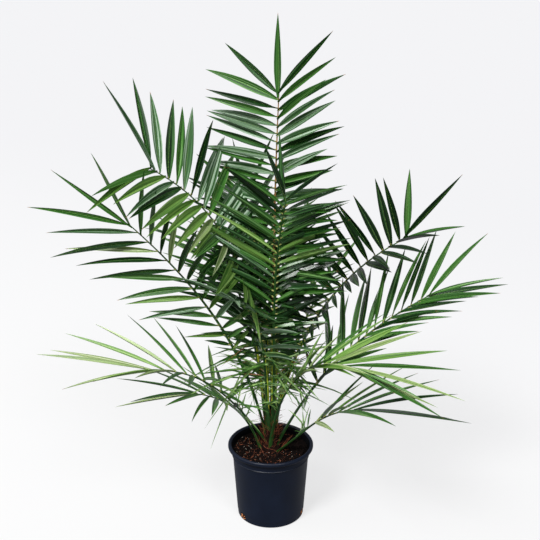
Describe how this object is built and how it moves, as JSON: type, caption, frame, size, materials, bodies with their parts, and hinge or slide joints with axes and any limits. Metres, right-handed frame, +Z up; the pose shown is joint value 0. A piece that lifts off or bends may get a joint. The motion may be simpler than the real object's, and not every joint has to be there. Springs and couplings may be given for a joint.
{
  "type": "potted palm",
  "caption": "Young date palm with arching feather-shaped fronds rising from a short fibrous stem, in a tapered round black plastic nursery pot filled with potting soil.",
  "frame": {"origin": "centre of the pot's flat underside", "axes": "+Z up along the pot's axis; -Z out of the underside; -Y toward the viewer of the picture; +X to that viewer's right"},
  "size_m": [1.4469, 1.1209, 1.5702],
  "materials": {
    "pot_plastic": "semi-matte moulded black with a faint blue cast",
    "potting_soil": "rough, moist bark and peat mix",
    "stem_fibre": "matted reddish brown leaf-base fibre",
    "frond_leaf": "leathery green leaflets with a soft sheen"
  },
  "bodies": {
    "root": {"pot": "pot_plastic", "soil": "potting_soil", "stem": "stem_fibre", "frond_back_tall": "frond_leaf", "frond_left_high": "frond_leaf", "frond_front_upright": "frond_leaf", "frond_left_middle": "frond_leaf", "frond_right_high": "frond_leaf", "frond_right_middle": "frond_leaf", "frond_left_low": "frond_leaf", "frond_front_right": "frond_leaf", "frond_right_lowest": "frond_leaf", "frond_left_lowest": "frond_leaf", "frond_back_left": "frond_leaf", "frond_back_right": "frond_leaf", "frond_front_left": "frond_leaf", "frond_back_low_left": "frond_leaf", "frond_back_low_right": "frond_leaf"}
  },
  "joints": []
}
